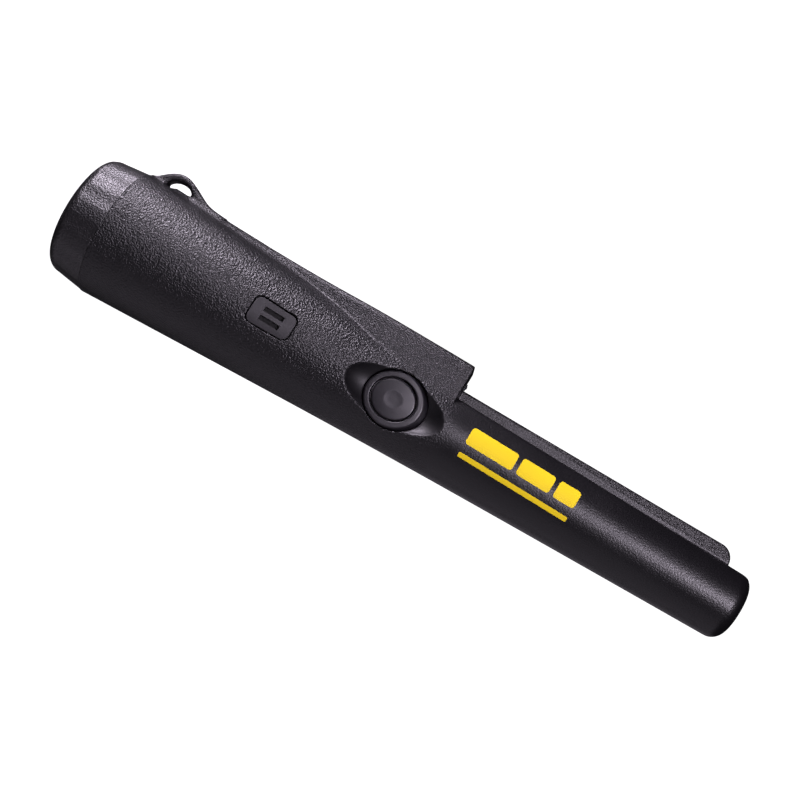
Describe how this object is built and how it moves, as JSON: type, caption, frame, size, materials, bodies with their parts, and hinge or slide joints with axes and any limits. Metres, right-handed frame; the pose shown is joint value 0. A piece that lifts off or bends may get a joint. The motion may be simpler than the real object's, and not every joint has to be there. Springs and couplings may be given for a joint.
{
  "type": "pinpointer probe",
  "caption": "Tapered handheld metal detector probe with a screw-on battery cap, push button, speaker grille, raised lamp hood, scraping blade and lanyard loop.",
  "frame": {"origin": "centre of the battery cap's flat end, which the probe stands on", "axes": "+Z along the probe towards its tip; -Y out of the push button; -X out of the hood, lanyard loop and scraping blade"},
  "size_m": [0.0461, 0.0408, 0.229],
  "materials": {
    "casing_plastic": "moulded black plastic with a coarse leather grain on the handle",
    "cap_plastic": "moulded black plastic, fine grain",
    "bezel_plastic": "satin black",
    "button_plastic": "satin black",
    "grille_plastic": "matte dark grey",
    "chassis_plastic": "matte dark grey",
    "snap_plastic": "matte black",
    "switch_body": "matte black",
    "switch_plunger": "matte red",
    "chip_plastic": "matte black epoxy",
    "former_plastic": "natural nylon",
    "foam": "closed-cell foam",
    "seal_rubber": "black rubber",
    "boot_rubber": "grey rubber",
    "cloth": "black woven mesh",
    "cone_film": "thin amber film",
    "board": "green solder mask on glass fibre",
    "battery_can": "plain satin wrap, no marking",
    "contact_metal": "nickel plate",
    "screw_steel": "zinc plate",
    "capacitor_can": "bare can",
    "crystal_can": "bright can",
    "speaker_steel": "plated basket",
    "magnet": "sintered magnet",
    "motor_steel": "bright can",
    "weight_metal": "sintered heavy metal",
    "ferrite": "dark ferrite",
    "winding": "enamelled copper wire",
    "lens_clear": "clear moulded window",
    "led_resin": "clear resin",
    "lead_red": "insulated wire",
    "lead_black": "insulated wire",
    "lead_blue": "insulated wire",
    "lead_yellow": "insulated wire"
  },
  "bodies": {
    "casing": {"casing": "casing_plastic", "cap_o_ring": "seal_rubber", "battery_case": "battery_can", "battery_terminals": "contact_metal", "snap_plate": "snap_plastic", "snap_contacts": "contact_metal", "chassis": "chassis_plastic", "circuit_board": "board", "pcb_screws": "screw_steel", "microcontroller": "chip_plastic", "amplifier_chips": "chip_plastic", "capacitors": "capacitor_can", "crystal": "crystal_can", "chip_resistors": "chip_plastic", "tact_switch": "switch_body", "button_seal": "seal_rubber", "button_bezel": "bezel_plastic", "speaker_grille": "grille_plastic", "dust_cloth": "cloth", "speaker_frame": "speaker_steel", "speaker_magnet": "magnet", "speaker_cone": "cone_film", "speaker_gasket": "foam", "motor_can": "motor_steel", "motor_boot": "boot_rubber", "ferrite_rod": "ferrite", "coil_former": "former_plastic", "transmit_coil": "winding", "receive_coil": "winding", "tip_pad": "foam", "led_lens": "lens_clear", "led": "led_resin", "led_holder": "chassis_plastic", "battery_leads": "lead_red", "speaker_leads": "lead_black", "motor_leads": "lead_blue", "coil_leads": "lead_yellow", "led_leads": "lead_black"},
    "battery_cap": {"battery_cap": "cap_plastic"},
    "cap_pad": {"battery_pad": "foam"},
    "power_button": {"power_button": "button_plastic"},
    "switch_plunger": {"switch_plunger": "switch_plunger"},
    "motor_rotor": {"motor_shaft": "screw_steel", "eccentric_weight": "weight_metal"}
  },
  "joints": [
    {"name": "cap_lift", "type": "slide", "parent": "casing", "child": "cap_pad", "axis": [0, 0, -1], "range_m": [0, 0.006]},
    {"name": "cap_turn", "type": "hinge", "parent": "cap_pad", "child": "battery_cap", "pos_m": [0, 0, 0], "axis": [0, 0, -1], "range_deg": [0, 540]},
    {"name": "button_press", "type": "slide", "parent": "casing", "child": "power_button", "axis": [0, 1, 0], "range_m": [0, 0.0004], "stiffness_N_per_m": 4000, "springref_m": -0.0004},
    {"name": "plunger_press", "type": "slide", "parent": "casing", "child": "switch_plunger", "axis": [0, 1, 0], "range_m": [0, 0.0004]},
    {"name": "motor_spin", "type": "hinge", "parent": "casing", "child": "motor_rotor", "pos_m": [0, 0.0083, 0.082], "axis": [0, 0, 1], "continuous": true}
  ],
  "couplings": [
    {"joint": "cap_turn", "follows": "cap_lift", "rad_per_m": 1570.8},
    {"joint": "plunger_press", "follows": "button_press", "ratio": 1}
  ]
}
